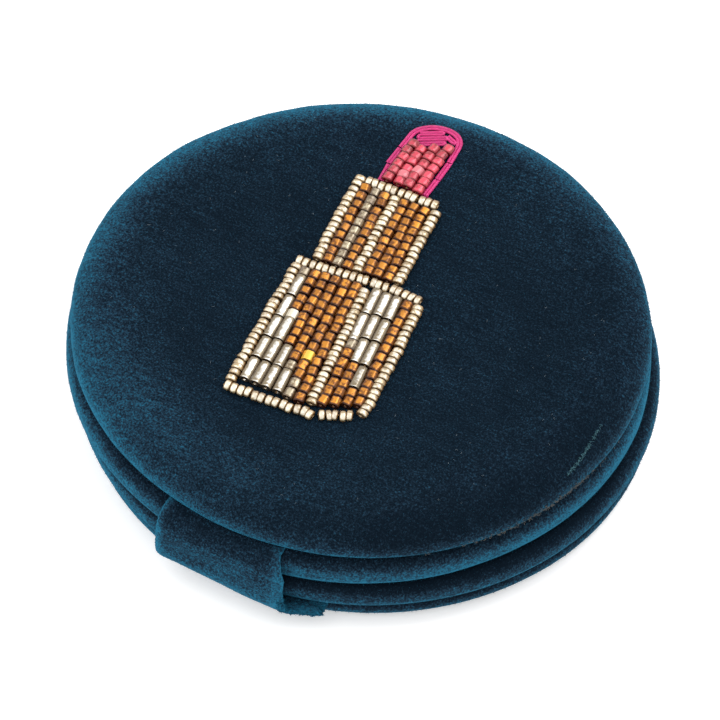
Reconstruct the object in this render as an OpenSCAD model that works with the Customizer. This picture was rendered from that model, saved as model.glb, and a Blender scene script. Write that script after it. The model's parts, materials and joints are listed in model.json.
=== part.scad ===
// Round folding pocket mirror: two velvet-covered halves joined by a cloth hinge.
// A lipstick worked in glass beads and wire purl lies on the lid. Units: mm, +Z up.
// The base rests on z = 0, the hinge is on the -Y side, and the case is closed.

/* [Case] */
// Diameter across the velvet rings
case_d = 100; // [80:1:120]
// Diameter across the lid's pad
lid_pad_d = 99; // [78:1:119]
// Diameter across the base's pad
base_pad_d = 98.6; // [78:0.2:119]
// Thickness of the lid's pad
lid_pad_h = 6.2; // [5.4:0.1:9]
// Thickness of the base's pad
base_pad_h = 5; // [4.4:0.1:8]
// Height of each velvet ring
ring_h = 5.2; // [4.6:0.1:7]
// Gap between the closed rings
ring_gap = 0.6; // [0.2:0.1:1.5]
// Thickness of the velvet skin
skin_t = 0.6; // [0.4:0.1:1]
// Sideways offset of the lid over the base
lid_dx = -1.5; // [-3:0.1:3]
// Offset of the lid over the base towards the hinge
lid_dy = -0.4; // [-2:0.1:0]

/* [Stiffening] */
// Thickness of the pad boards
board_t = 1.8; // [1:0.1:2.5]
// Thickness of the ring cards
ring_card_t = 1; // [0.6:0.1:1.4]
// Width of the turned-in velvet hem
hem_w = 8; // [4:0.5:12]

/* [Mirror] */
// Diameter of each mirror
mirror_d = 76; // [60:1:80]
// Thickness of the mirror glass
mirror_t = 2; // [1.5:0.1:2.2]
// Diameter of the round window in each ring
window_d = 72.8; // [56:0.2:76]
// Thickness of the mounting tape
tape_t = 0.2; // [0.1:0.05:0.4]

/* [Hinge] */
// Width of the cloth hinge
band_w = 24.2; // [16:0.2:34]
// Thickness of each layer of the hinge
cloth_t = 0.55; // [0.4:0.05:0.8]
// Depth that each hinge tail runs in between pad and ring
tail_len = 8.5; // [5:0.5:10]
// Radius of the two cloth folds
fold_r = 2.4; // [1.5:0.1:3]

/* [Magnets] */
// Diameter of the hidden magnets
magnet_d = 7; // [4:0.5:7.5]
// Thickness of the hidden magnets
magnet_t = 2; // [1:0.1:2.4]

/* [Beads] */
// Outer diameter of the small outline beads
seed_d = 1.5; // [1:0.05:1.7]
// Spacing of the small outline beads
seed_pitch = 1.25; // [1:0.05:1.8]
// Outer diameter of the bugles and filling beads
bugle_d = 1.54; // [1:0.02:1.7]
// Spacing of the bugles
bugle_pitch = 5.05; // [3:0.05:6]
// Spacing of the filling beads
fill_pitch = 1.85; // [1.4:0.05:2.4]
// Spacing of the red beads
red_pitch = 1.7; // [1.4:0.05:2.2]
// Gap between neighbouring beads on a thread
bead_gap = 0.2; // [0.1:0.02:0.4]
// Bore through each bead
bore_d = 0.6; // [0.4:0.05:0.8]
// Diameter of the bead thread
thread_d = 0.25; // [0.1:0.05:0.3]
// Outer diameter of one strand of the pink wire purl
purl_d = 0.5; // [0.3:0.05:0.7]
// Spacing of the two strands that lie side by side
purl_side = 0.53; // [0.35:0.01:0.75]
// Spacing of the purl pieces
purl_pitch = 3.8; // [2:0.1:5]
// Clearance of the beads above the velvet
bead_lift = 0.05; // [0.05:0.01:0.2]

/* [Hidden] */
$fn = 48;
ring_r = case_d / 2;
ring_round = ring_h / 2;
lip_round = 1.3;
lip_z = tape_t + mirror_t + 0.05;
pocket_r = mirror_d / 2 + 0.4;
window_r = window_d / 2;
seam_lo = base_pad_h;
seam_hi = base_pad_h + 2 * ring_h + ring_gap;
lid_top = seam_hi + lid_pad_h;
band_x = lid_dx;
tail_y = ring_r - 1.25;
spine_y = tail_y + fold_r;
fold_y = tail_y + 0.785 * fold_r;
fold_z = cloth_t / 2 + 0.215 * fold_r;
magnet_r = (pocket_r + ring_r - ring_round) / 2;
card_z = ring_h - skin_t - 0.85 - ring_card_t;

// Corner points of the motif on the lid, from the middle of the lid
tube_tl = [-14.2, 3.2];
tube_bl = [-12.45, -24.9];
tube_tr = [8.3, 5.05];
tube_mr = [9.55, -4.8];
tube_br = [10.8, -21.1];
ridge_t = [-1.35, 4];
ridge_b = [2, -22.9];
collar_tl = [-13.55, 26];
collar_ml = [-12.95, 15.6];
collar_bl = [-11.75, 5.75];
collar_tr = [1.35, 25.1];
collar_mr = [2.1, 16.5];
collar_br = [2.9, 7.45];

// Where along a path of points a given length falls, and the direction there
function seg(p, i) = norm(p[i + 1] - p[i]);
function path_len(p, i = 0) = i > len(p) - 2 ? 0 : seg(p, i) + path_len(p, i + 1);
function path_at(p, s, i = 0) =
  (s <= seg(p, i) || i == len(p) - 2)
  ? let (u = (p[i + 1] - p[i]) / seg(p, i)) [p[i] + u * s, atan2(u[1], u[0])]
  : path_at(p, s - seg(p, i), i + 1);
function mix(a, b, t) = a + (b - a) * t;
function total(v, n, i = 0) = i >= n ? 0 : v[i] + total(v, n, i + 1);

// Columns of the two faces and of the collar, from top to bottom
function left_column(k) = [
  [mix(tube_tl[0], ridge_t[0], k / 7), 2.85 + 0.27 * k],
  [mix(tube_bl[0], ridge_b[0], k / 7), -23.6]
];
function right_column(k) = [
  [mix(ridge_t[0], tube_tr[0], k / 5), 4.75 + 0.05 * k],
  [mix(ridge_b[0], tube_br[0], k / 5), -23.3 + 0.92 * k]
];
function collar_column(k) = [
  [mix(-13.65, 1.2, k / 8), 24.55 + 0.05 * k],
  [mix(-11.85, 2.8, k / 8), 5.55 + 0.24 * k]
];
lip_tops = [37.7, 37.1, 38.3, 39.4];
function lip_column(k) = [[-11.24 + 1.89 * k, 27.3], [-11.13 + 1.93 * k, lip_tops[k - 1]]];

// How the threads of the tube are strung: bead spacings from the top down
function run_of(n, pitch) = [for (i = [0:1:n - 1]) pitch];
left_fill = [1, 5, 9, 10, 11, 14];
left_clear = [0, 1, 0, 1, 2, 0];
left_bugles = [5, 3, 2, 1, 0, 0];
right_bugles = [2, 3, 4, 0];
right_clear = [1, 0, 0, 0];
right_fill = [6, 5, 2, 12];
function left_string(k) = concat(
  run_of(left_fill[k - 1], fill_pitch),
  run_of(left_clear[k - 1], fill_pitch),
  run_of(left_bugles[k - 1], bugle_pitch)
);
function right_string(k) = concat(
  run_of(right_bugles[k - 1], bugle_pitch),
  run_of(right_clear[k - 1], fill_pitch),
  run_of(right_fill[k - 1], fill_pitch)
);

// One glass bead along X: a tube with chamfered rims round its bore
module bead(d, l, c = 0.18) {
  rotate([0, 90, 0]) rotate_extrude($fn = 24)
    polygon([
      [bore_d / 2, -l / 2], [d / 2 - c, -l / 2], [d / 2, -l / 2 + c],
      [d / 2, l / 2 - c], [d / 2 - c, l / 2], [bore_d / 2, l / 2]
    ]);
}

// A bead laid on the lid at a point and direction of the motif
module laid(at, d) {
  translate([lid_dx + at[0][0], lid_dy + at[0][1], lid_top + bead_lift + d / 2])
    rotate([0, 0, at[1]]) children();
}

// A row of equal beads filling a path
module bead_row(path, d, pitch) {
  n = round(path_len(path) / pitch);
  step = path_len(path) / n;
  for (i = [0:1:n - 1])
    laid(path_at(path, (i + 0.5) * step), d) bead(d, step - bead_gap);
}

// Some of the beads of a mixed string that fills a path
module string_beads(path, string, first, count, d) {
  k = path_len(path) / total(string, len(string));
  for (i = [first:1:first + count - 1])
    laid(path_at(path, k * (total(string, i) + string[i] / 2)), d)
      bead(d, k * string[i] - bead_gap);
}

// A thread through the bores of a path's beads, one length for each straight of the path
module thread(path, d) {
  for (i = [0:1:len(path) - 2])
    laid(path_at([path[i], path[i + 1]], 0), d) rotate([0, 90, 0])
      cylinder(d = thread_d, h = seg(path, i) - 0.15, $fn = 16);
}

// Section of a padded half: z = 0 is its inner face, e shrinks it all round
module pad_section(r, h, big, small, mid, e) {
  a = asin((mid - h + big) / (big - small));
  cx = r - small - (big - small) * cos(a);
  px = cx + (big - small) * cos(a);
  intersection() {
    union() {
      translate([0, e]) square([cx, h - 2 * e]);
      translate([px, mid]) circle(small - e, $fn = 64);
      intersection() {
        translate([cx, h - big]) circle(big - e, $fn = 128);
        polygon([
          [cx, h - big], [cx, h + 1],
          [cx + (h + 1) / tan(a) + big, h + 1], [px + 9 * cos(a), mid + 9 * sin(a)]
        ]);
      }
      polygon([
        [cx - 1, e], [px, e], [px, mid],
        [px + (small - e) * cos(a), mid + (small - e) * sin(a)], [cx, h - e], [cx - 1, h - e]
      ]);
    }
    translate([0, e]) square([r + 1, h]);
  }
}
module lid_section(e) {
  pad_section(lid_pad_d / 2, lid_pad_h, 9, 3, 2, e);
}
module base_section(e) {
  pad_section(base_pad_d / 2, base_pad_h, 7, 2.4, 2, e);
}

// Section of a ring: z = 0 is its pad side, with a lip over the mirror's edge
module ring_section(e) {
  mid = ring_r - ring_round;
  translate([mid, ring_round]) circle(ring_round - e, $fn = 64);
  translate([pocket_r + e, e]) square([mid - pocket_r - e, ring_h - 2 * e]);
  translate([window_r + lip_round, ring_h - lip_round]) circle(lip_round - e, $fn = 48);
  translate([window_r + lip_round, lip_z + e])
    square([mid - window_r - lip_round, ring_h - lip_z - 2 * e]);
  translate([window_r + e, lip_z + e])
    square([lip_round, ring_h - lip_round - lip_z - e]);
}

// Section of the board inside a pad, stepped so that the velvet hem lies flush
module board_section(r) {
  square([r - hem_w - skin_t, skin_t + board_t]);
  translate([0, skin_t]) square([r - 1.9, board_t]);
}

// The parts of one half, drawn with the seam between pad and ring at z = 0.
// Pads reach up from it and rings reach down.
module pad_cover(r) {
  rotate_extrude($fn = 128) difference() {
    children(0);
    children(1);
    square([r - hem_w - skin_t, skin_t]);
  }
}
module tail_block() {
  translate([-band_w / 2, -tail_y, -cloth_t]) cube([band_w, tail_len, cloth_t]);
}
module magnet_block(t) {
  translate([0, magnet_r, -card_z - ring_card_t]) cylinder(d = magnet_d, h = t, $fn = 48);
}
module ring_down() {
  mirror([0, 0, 1]) rotate_extrude($fn = 128) children();
}
module half_ring_cover() {
  difference() {
    ring_down() difference() {
      ring_section(0);
      ring_section(skin_t);
    }
    tail_block();
  }
}
module half_ring_spacer() {
  difference() {
    ring_down() translate([pocket_r + skin_t, skin_t])
      square([ring_r - ring_round - pocket_r - skin_t, card_z - skin_t]);
    magnet_block(magnet_t);
  }
}
module half_ring_card() {
  difference() {
    ring_down() intersection() {
      ring_section(skin_t);
      translate([0, card_z]) square([ring_r - ring_round, ring_card_t]);
    }
    magnet_block(magnet_t);
  }
}
module half_ring_wadding() {
  ring_down() difference() {
    ring_section(skin_t);
    translate([0, -1]) square([ring_r - ring_round, 1 + card_z + ring_card_t]);
  }
}
module half_magnet() {
  magnet_block(magnet_t);
}
module half_tape() {
  translate([0, 0, -tape_t]) cylinder(r = mirror_d / 2 - 2, h = tape_t, $fn = 96);
}
module half_mirror() {
  translate([0, 0, -tape_t - mirror_t]) cylinder(d = mirror_d, h = mirror_t, $fn = 96);
}

// Places a half's parts: the lid's as drawn, the base's turned over
module on_lid() {
  translate([lid_dx, lid_dy, seam_hi]) children();
}
module on_base() {
  translate([0, 0, seam_lo]) mirror([0, 0, 1]) children();
}

module base_cover() {
  color([0.05, 0.2, 0.28]) on_base() pad_cover(base_pad_d / 2) {
    base_section(0);
    base_section(skin_t);
  }
}
module base_foam() {
  color([0.85, 0.82, 0.7]) on_base() rotate_extrude($fn = 128) difference() {
    base_section(skin_t);
    board_section(base_pad_d / 2);
  }
}
module base_board() {
  color([0.6, 0.52, 0.4]) on_base() rotate_extrude($fn = 128)
    board_section(base_pad_d / 2);
}
module base_mirror_tape() {
  color([0.9, 0.9, 0.9]) on_base() half_tape();
}
module base_mirror() {
  color([0.8, 0.86, 0.9]) on_base() half_mirror();
}
module base_ring_spacer() {
  color([0.62, 0.5, 0.36]) on_base() half_ring_spacer();
}
module base_ring_card() {
  color([0.68, 0.6, 0.48]) on_base() half_ring_card();
}
module base_ring_wadding() {
  color([0.94, 0.94, 0.92]) on_base() half_ring_wadding();
}
module base_ring_cover() {
  color([0.06, 0.26, 0.36]) difference() {
    on_base() half_ring_cover();
    translate([band_x, 0, seam_lo + cloth_t]) tail_block();
  }
}
module base_magnet() {
  color([0.5, 0.5, 0.53]) on_base() half_magnet();
}
module base_hinge_tail() {
  color([0.1, 0.36, 0.48]) translate([band_x, 0, seam_lo + cloth_t]) tail_block();
}
module hinge_spine_cloth() {
  color([0.05, 0.22, 0.3])
    translate([band_x - band_w / 2, -spine_y - cloth_t, seam_lo + cloth_t / 2 + fold_r])
      cube([band_w, cloth_t, seam_hi - seam_lo - cloth_t - 2 * fold_r]);
}
module hinge_spine_lining() {
  color([0.1, 0.3, 0.4])
    translate([band_x - band_w / 2, -spine_y, seam_lo + cloth_t / 2 + fold_r])
      cube([band_w, cloth_t, seam_hi - seam_lo - cloth_t - 2 * fold_r]);
}
module lid_cover() {
  color([0.04, 0.17, 0.25]) on_lid() pad_cover(lid_pad_d / 2) {
    lid_section(0);
    lid_section(skin_t);
  }
}
module lid_foam() {
  color([0.85, 0.82, 0.7]) on_lid() rotate_extrude($fn = 128) difference() {
    lid_section(skin_t);
    board_section(lid_pad_d / 2);
  }
}
module lid_board() {
  color([0.6, 0.52, 0.4]) on_lid() rotate_extrude($fn = 128)
    board_section(lid_pad_d / 2);
}
module lid_mirror_tape() {
  color([0.9, 0.9, 0.9]) on_lid() half_tape();
}
module lid_mirror() {
  color([0.8, 0.86, 0.9]) on_lid() half_mirror();
}
module lid_ring_spacer() {
  color([0.62, 0.5, 0.36]) on_lid() half_ring_spacer();
}
module lid_ring_card() {
  color([0.68, 0.6, 0.48]) on_lid() half_ring_card();
}
module lid_ring_wadding() {
  color([0.94, 0.94, 0.92]) on_lid() half_ring_wadding();
}
module lid_ring_cover() {
  color([0.06, 0.24, 0.34]) difference() {
    on_lid() half_ring_cover();
    translate([band_x, 0, seam_hi]) tail_block();
  }
}
module lid_magnet() {
  color([0.5, 0.5, 0.53]) on_lid() half_magnet();
}
module lid_hinge_tail() {
  color([0.1, 0.36, 0.48]) translate([band_x, 0, seam_hi]) tail_block();
}

// Outline of the tube: each entry is one sewn row of small beads
tube_rows = [
  [tube_tl, tube_bl],
  [[-14.9, 4.25], [-12.4, 4.4], [-5, 5.25], [2.9, 6.15], [8.2, 6.1]],
  [tube_tr, tube_mr, tube_br],
  [[-12.9, -26.15], [-8.6, -25.7], [-2.6, -25.2], [3.7, -24.8]],
  [[4.1, -24.3], [9.45, -21.55]]
];
collar_rows = [
  [collar_tl, collar_ml, collar_bl],
  [[-12.55, 25.6], [-6, 26], [1.1, 26.3]],
  [collar_tr, collar_mr, collar_br]
];
lip_left = [[-10.4, 27], [-10.85, 33.2], [-10.4, 39.5]];
lip_dome = [
  [-10.4, 39.75], [-8.95, 41.6], [-6.75, 42.7], [-4.4, 42.85], [-2.65, 42.1], [-1.98, 40.6]
];
lip_right = [[-2, 40.4], [-1.75, 36], [-1.9, 31.5], [-2.15, 27.5]];
tip_rows = [
  [[-9, 39.95], [-6, 41.68]],
  [[-8.67, 38.77], [-4.97, 40.97]],
  [[-8.25, 37.68], [-4.75, 39.73]],
  [[-4.5, 41.35], [-3.3, 40.9]]
];

module tube_outline_beads() {
  color([0.78, 0.72, 0.58])
    for (row = tube_rows) bead_row(row, seed_d, seed_pitch);
}
module tube_ridge_beads() {
  color([0.8, 0.74, 0.6]) bead_row([ridge_t, ridge_b], seed_d, seed_pitch);
}
module tube_left_bugles() {
  color([0.86, 0.84, 0.78])
    for (k = [1:1:4])
      string_beads(left_column(k), left_string(k),
        left_fill[k - 1] + left_clear[k - 1], left_bugles[k - 1], bugle_d);
}
module tube_right_bugles() {
  color([0.86, 0.84, 0.78])
    for (k = [1:1:3])
      string_beads(right_column(k), right_string(k), 0, right_bugles[k - 1], bugle_d);
}
module tube_clear_beads() {
  color([0.72, 0.66, 0.52]) {
    string_beads(left_column(1), left_string(1), 0, 1, bugle_d);
    for (k = [2, 4, 5])
      string_beads(left_column(k), left_string(k), left_fill[k - 1], left_clear[k - 1], bugle_d);
    string_beads(right_column(1), right_string(1), right_bugles[0], 1, bugle_d);
  }
}
module tube_left_amber_beads() {
  color([0.62, 0.34, 0.08])
    for (k = [2:1:6])
      string_beads(left_column(k), left_string(k), 0, left_fill[k - 1], bugle_d);
}
module tube_right_amber_beads() {
  color([0.62, 0.34, 0.08])
    for (k = [1:1:4])
      string_beads(right_column(k), right_string(k),
        right_bugles[k - 1] + right_clear[k - 1], right_fill[k - 1], bugle_d);
}
module collar_outline_beads() {
  color([0.78, 0.72, 0.58])
    for (row = collar_rows) bead_row(row, seed_d, seed_pitch);
}
module collar_gold_beads() {
  color([0.8, 0.74, 0.6]) bead_row(collar_column(4), seed_d, seed_pitch);
}
module collar_clear_beads() {
  color([0.7, 0.64, 0.5]) bead_row(collar_column(2), bugle_d, fill_pitch);
}
module collar_amber_beads() {
  color([0.6, 0.33, 0.08])
    for (k = [1, 3, 5, 6, 7]) bead_row(collar_column(k), bugle_d, fill_pitch);
}
module lip_red_beads() {
  color([0.75, 0.12, 0.2])
    for (k = [1:1:4]) bead_row(lip_column(k), bugle_d, red_pitch);
}
// Two strands of coiled wire side by side along a path, cut into short pieces
function beside(p, off) = [
  for (i = [0:1:len(p) - 1])
    let (a = p[max(i - 1, 0)], b = p[min(i + 1, len(p) - 1)], u = (b - a) / norm(b - a))
      p[i] + off * [-u[1], u[0]]
];
module purl(path, pitch, cut = 0.24) {
  for (side = [-0.5, 0.5]) {
    strand = beside(path, side * purl_side);
    n = max(1, round(path_len(strand) / pitch));
    step = path_len(strand) / n;
    for (i = [0:1:n - 1])
      laid(path_at(strand, (i + 0.5) * step), purl_d) rotate([0, 90, 0])
        translate([0, 0, (cut - step) / 2]) difference() {
          cylinder(d = purl_d, h = step - cut, $fn = 24);
          translate([0, 0, -1]) cylinder(d = purl_d / 2, h = step + 2, $fn = 16);
        }
  }
}
module lip_outline_purl() {
  color([0.85, 0.15, 0.45]) {
    purl(lip_left, purl_pitch);
    purl(lip_right, purl_pitch);
    for (i = [0:1:len(lip_dome) - 2])
      purl([lip_dome[i], lip_dome[i + 1]], purl_pitch, 0.6);
  }
}
module lip_tip_purl() {
  color([0.88, 0.2, 0.5]) for (row = tip_rows) purl(row, 2 * purl_pitch);
}
module bead_threads() {
  color([0.85, 0.8, 0.68]) {
    for (row = concat(tube_rows, collar_rows, [[ridge_t, ridge_b], collar_column(4)]))
      thread(row, seed_d);
    for (k = [1:1:6]) thread(left_column(k), bugle_d);
    for (k = [1:1:4]) thread(right_column(k), bugle_d);
    for (k = [1, 2, 3, 5, 6, 7]) thread(collar_column(k), bugle_d);
    for (k = [1:1:4]) thread(lip_column(k), bugle_d);
  }
}

base_cover();
base_foam();
base_board();
base_mirror_tape();
base_mirror();
base_ring_spacer();
base_ring_card();
base_ring_wadding();
base_ring_cover();
base_magnet();
base_hinge_tail();
hinge_spine_cloth();
hinge_spine_lining();
lid_cover();
lid_foam();
lid_board();
lid_mirror_tape();
lid_mirror();
lid_ring_spacer();
lid_ring_card();
lid_ring_wadding();
lid_ring_cover();
lid_magnet();
lid_hinge_tail();
tube_outline_beads();
tube_ridge_beads();
tube_left_bugles();
tube_right_bugles();
tube_clear_beads();
tube_left_amber_beads();
tube_right_amber_beads();
collar_outline_beads();
collar_gold_beads();
collar_clear_beads();
collar_amber_beads();
lip_red_beads();
lip_outline_purl();
lip_tip_purl();
bead_threads();
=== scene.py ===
"""Looks for the round velvet pocket mirror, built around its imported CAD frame."""

import json
import math

import bmesh
import bpy
import numpy as np
from mathutils import Matrix, Vector, noise
from mathutils.bvhtree import BVHTree


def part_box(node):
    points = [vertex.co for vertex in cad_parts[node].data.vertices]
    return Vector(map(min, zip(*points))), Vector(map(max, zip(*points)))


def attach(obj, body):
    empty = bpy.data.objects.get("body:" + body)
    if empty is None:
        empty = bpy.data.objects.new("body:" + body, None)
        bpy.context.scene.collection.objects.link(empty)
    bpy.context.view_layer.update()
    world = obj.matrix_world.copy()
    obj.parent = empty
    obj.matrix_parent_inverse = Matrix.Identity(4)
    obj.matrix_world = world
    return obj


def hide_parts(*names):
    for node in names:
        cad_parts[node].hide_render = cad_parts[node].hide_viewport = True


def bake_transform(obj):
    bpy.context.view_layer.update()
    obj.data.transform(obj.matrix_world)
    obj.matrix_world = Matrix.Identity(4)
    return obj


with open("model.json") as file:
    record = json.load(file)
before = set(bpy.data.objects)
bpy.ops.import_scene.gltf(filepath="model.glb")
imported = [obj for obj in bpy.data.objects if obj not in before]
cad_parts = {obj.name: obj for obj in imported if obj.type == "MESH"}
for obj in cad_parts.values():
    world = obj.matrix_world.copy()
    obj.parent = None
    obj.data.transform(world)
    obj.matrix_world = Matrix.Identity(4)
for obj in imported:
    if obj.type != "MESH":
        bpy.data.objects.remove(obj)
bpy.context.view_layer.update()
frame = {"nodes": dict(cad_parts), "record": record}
NODES = frame["nodes"]
MM = 0.001
TURN = 2 * math.pi
RNG = np.random.default_rng(7)


# ---------------------------------------------------------------- camera
def make_camera():
    """The camera that took the photograph: long lens, above the hinge side, slightly rolled."""
    azimuth, elevation, roll = map(math.radians, (25.1, 50.99, 2.89))
    distance, lens, sensor = 1.548, 451.5, 36.0
    target = Vector((0, 0, 0.011))
    slide = (1.495 * MM, 1.051 * MM)
    back = Vector(
        (
            math.sin(azimuth) * math.cos(elevation),
            -math.cos(azimuth) * math.cos(elevation),
            math.sin(elevation),
        )
    )
    side = Vector((math.cos(azimuth), math.sin(azimuth), 0))
    up = back.cross(side)
    right = side * math.cos(roll) + up * math.sin(roll)
    top = up * math.cos(roll) - side * math.sin(roll)
    data = bpy.data.cameras.new("camera")
    data.lens, data.sensor_width = lens, sensor
    data.clip_start, data.clip_end = 0.05, 20.0
    cam = bpy.data.objects.new("camera", data)
    bpy.context.scene.collection.objects.link(cam)
    place = target + back * distance - right * slide[0] - top * slide[1]
    turn = Matrix((right, top, back)).transposed()
    cam.matrix_world = Matrix.Translation(place) @ turn.to_4x4()
    bpy.context.scene.camera = cam


# ---------------------------------------------------------------- node helpers
def new_material(name):
    mat = bpy.data.materials.new(name)
    mat.use_nodes = True
    tree = mat.node_tree
    tree.nodes.clear()
    out = tree.nodes.new("ShaderNodeOutputMaterial")
    shader = tree.nodes.new("ShaderNodeBsdfPrincipled")
    tree.links.new(shader.outputs[0], out.inputs["Surface"])
    return mat, tree, shader


def plug(tree, out, socket):
    tree.links.new(out, socket)


def noise_node(tree, size, detail=4.0, rough=0.6, stretch=(1, 1, 1)):
    """Noise whose grain is about size metres across, in the object's own coordinates."""
    where = tree.nodes.new("ShaderNodeTexCoord")
    fit = tree.nodes.new("ShaderNodeMapping")
    fit.inputs["Scale"].default_value = stretch
    tex = tree.nodes.new("ShaderNodeTexNoise")
    tex.inputs["Scale"].default_value = 1 / size
    tex.inputs["Detail"].default_value = detail
    tex.inputs["Roughness"].default_value = rough
    plug(tree, where.outputs["Object"], fit.inputs["Vector"])
    plug(tree, fit.outputs[0], tex.inputs["Vector"])
    return tex.outputs["Fac"]


def ramp(tree, fac, stops):
    node = tree.nodes.new("ShaderNodeValToRGB")
    band = node.color_ramp
    while len(band.elements) < len(stops):
        band.elements.new(0.5)
    for spot, (at, colour) in zip(band.elements, stops):
        spot.position = at
        spot.color = (*colour, 1)
    plug(tree, fac, node.inputs[0])
    return node.outputs[0]


def mix(tree, fac, a, b, mode="MIX"):
    node = tree.nodes.new("ShaderNodeMix")
    node.data_type = "RGBA"
    node.blend_type = mode
    for value, socket in ((fac, node.inputs[0]), (a, node.inputs[6]), (b, node.inputs[7])):
        if isinstance(value, (int, float)):
            socket.default_value = value
        elif isinstance(value, tuple):
            socket.default_value = (*value, 1)
        else:
            plug(tree, value, socket)
    return node.outputs[2]


def maths(tree, op, a, b=0.0):
    node = tree.nodes.new("ShaderNodeMath")
    node.operation = op
    for value, socket in ((a, node.inputs[0]), (b, node.inputs[1])):
        if isinstance(value, (int, float)):
            socket.default_value = value
        else:
            plug(tree, value, socket)
    return node.outputs[0]


def attribute(tree, name):
    """A number that the mesh carries at each vertex."""
    node = tree.nodes.new("ShaderNodeAttribute")
    node.attribute_name = name
    return node.outputs["Fac"]


def bump(tree, height, strength, depth, shader):
    node = tree.nodes.new("ShaderNodeBump")
    node.inputs["Strength"].default_value = strength
    node.inputs["Distance"].default_value = depth
    plug(tree, height, node.inputs["Height"])
    plug(tree, node.outputs[0], shader.inputs["Normal"])


# ---------------------------------------------------------------- materials
# Colour of the pile and its painted sheen, from fibres seen end on to fibres seen from the side
PILE_AND_SHEEN = [
    (0.0, (0.0022, 0.0062, 0.0118)),
    (0.25, (0.0048, 0.012, 0.0215)),
    (0.45, (0.0105, 0.0265, 0.0465)),
    (0.68, (0.0125, 0.062, 0.106)),
    (1.0, (0.015, 0.125, 0.21)),
]
# Size of a tuft of pile, and how far the tufts lean apart
TUFT_SIZE, TUFT_STRAY = 0.0007, 0.6
# Leans each bead's painted highlight, along its lining, off the top of the bead
BEAD_LEAN = (0.18, -0.22, 0.0)
# The side of a bead that carries a painted warm reflection of its lining
WARM_SIDE = (0.87, 0.48, 0.0)
# What a dull bead's colour is multiplied by
DULL = (0.45, 0.4, 0.38)


def centred(tree, out, gain):
    """Noise brought to swing about 0, times a gain."""
    return maths(tree, "MULTIPLY", maths(tree, "SUBTRACT", out, 0.5), gain)


def vector(tree, op, one, two=None):
    """A vector operation on one or two values, each a tuple or another node's output."""
    node = tree.nodes.new("ShaderNodeVectorMath")
    node.operation = op
    for value, socket in ((one, node.inputs[0]), (two, node.inputs[1])):
        if isinstance(value, tuple):
            socket.default_value = value
        elif value is not None:
            plug(tree, value, socket)
    return node.outputs["Vector"]


def leaned_facing(tree, lean, stray=(0.0, 0.0, 0.0)):
    """How far the surface turns away, its normal first leaned by vectors fixed to the piece."""
    geo = tree.nodes.new("ShaderNodeNewGeometry")
    turn = tree.nodes.new("ShaderNodeVectorTransform")
    turn.vector_type, turn.convert_from, turn.convert_to = "VECTOR", "OBJECT", "WORLD"
    plug(tree, vector(tree, "ADD", stray, lean), turn.inputs[0])
    normal = vector(tree, "NORMALIZE", vector(tree, "ADD", geo.outputs["Normal"], turn.outputs[0]))
    facing = tree.nodes.new("ShaderNodeLayerWeight")
    facing.inputs["Blend"].default_value = 0.5
    plug(tree, normal, facing.inputs["Normal"])
    return facing.outputs["Facing"]


def velvet(name, lean=(0.13, -0.27, 0.0), lift=0.0):
    """Short dense pile: near-black blue when seen end on, with a painted sheen of teal where it is seen along
    its leaning fibres.

    The mesh's tint adds more painted sheen, lightening the pile's colour.
    """
    mat, tree, shader = new_material(name)
    where = tree.nodes.new("ShaderNodeTexCoord")
    tuft = tree.nodes.new("ShaderNodeTexNoise")
    tuft.inputs["Scale"].default_value = 1 / TUFT_SIZE
    tuft.inputs["Detail"].default_value = 3.0
    plug(tree, where.outputs["Object"], tuft.inputs["Vector"])
    stray = vector(tree, "SUBTRACT", tuft.outputs["Color"], (0.5, 0.5, 0.5))
    stray = vector(tree, "MULTIPLY", stray, (TUFT_STRAY, TUFT_STRAY, TUFT_STRAY))
    speck = noise_node(tree, 0.00036, 2.0, 0.75)
    grain = noise_node(tree, 0.0013, 2.0, 0.6)
    patch = noise_node(tree, 0.0045, 3.0, 0.6)
    sweep = noise_node(tree, 0.022, 2.0, 0.5)
    ribs = noise_node(tree, 0.0013, 1.0, 0.5, (0.2, 2.0, 1.0))
    # Painted sheen: the further the leaned surface turns away, and the higher the tint, the lighter the
    # pile's colour
    level = maths(tree, "ADD", leaned_facing(tree, lean, stray), attribute(tree, "tint"))
    for out, gain in ((speck, 1.75), (grain, 0.16), (patch, 0.2), (sweep, 0.28), (ribs, 0.3)):
        level = maths(tree, "ADD", level, centred(tree, out, gain))
    level = maths(tree, "ADD", level, lift)
    plug(tree, ramp(tree, level, PILE_AND_SHEEN), shader.inputs["Base Color"])
    shader.inputs["Roughness"].default_value = 0.9
    shader.inputs["Specular IOR Level"].default_value = 0.03
    shader.inputs["Sheen Weight"].default_value = 0.035
    shader.inputs["Sheen Roughness"].default_value = 0.4
    shader.inputs["Sheen Tint"].default_value = (0.1, 0.5, 0.75, 1)
    bump(tree, speck, 0.6, 0.0003, shader)
    return mat


def flank(tree, way, start, gain, most):
    """How squarely the surface faces a direction fixed to the piece, past a start and up to a limit."""
    geo = tree.nodes.new("ShaderNodeNewGeometry")
    turn = tree.nodes.new("ShaderNodeVectorTransform")
    turn.vector_type, turn.convert_from, turn.convert_to = "NORMAL", "WORLD", "OBJECT"
    plug(tree, geo.outputs["Normal"], turn.inputs[0])
    side = tree.nodes.new("ShaderNodeVectorMath")
    side.operation = "DOT_PRODUCT"
    plug(tree, turn.outputs[0], side.inputs[0])
    side.inputs[1].default_value = way
    amount = maths(tree, "MULTIPLY", maths(tree, "SUBTRACT", side.outputs["Value"], start), gain)
    return maths(tree, "MINIMUM", maths(tree, "MAXIMUM", amount, 0.0), most)


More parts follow.
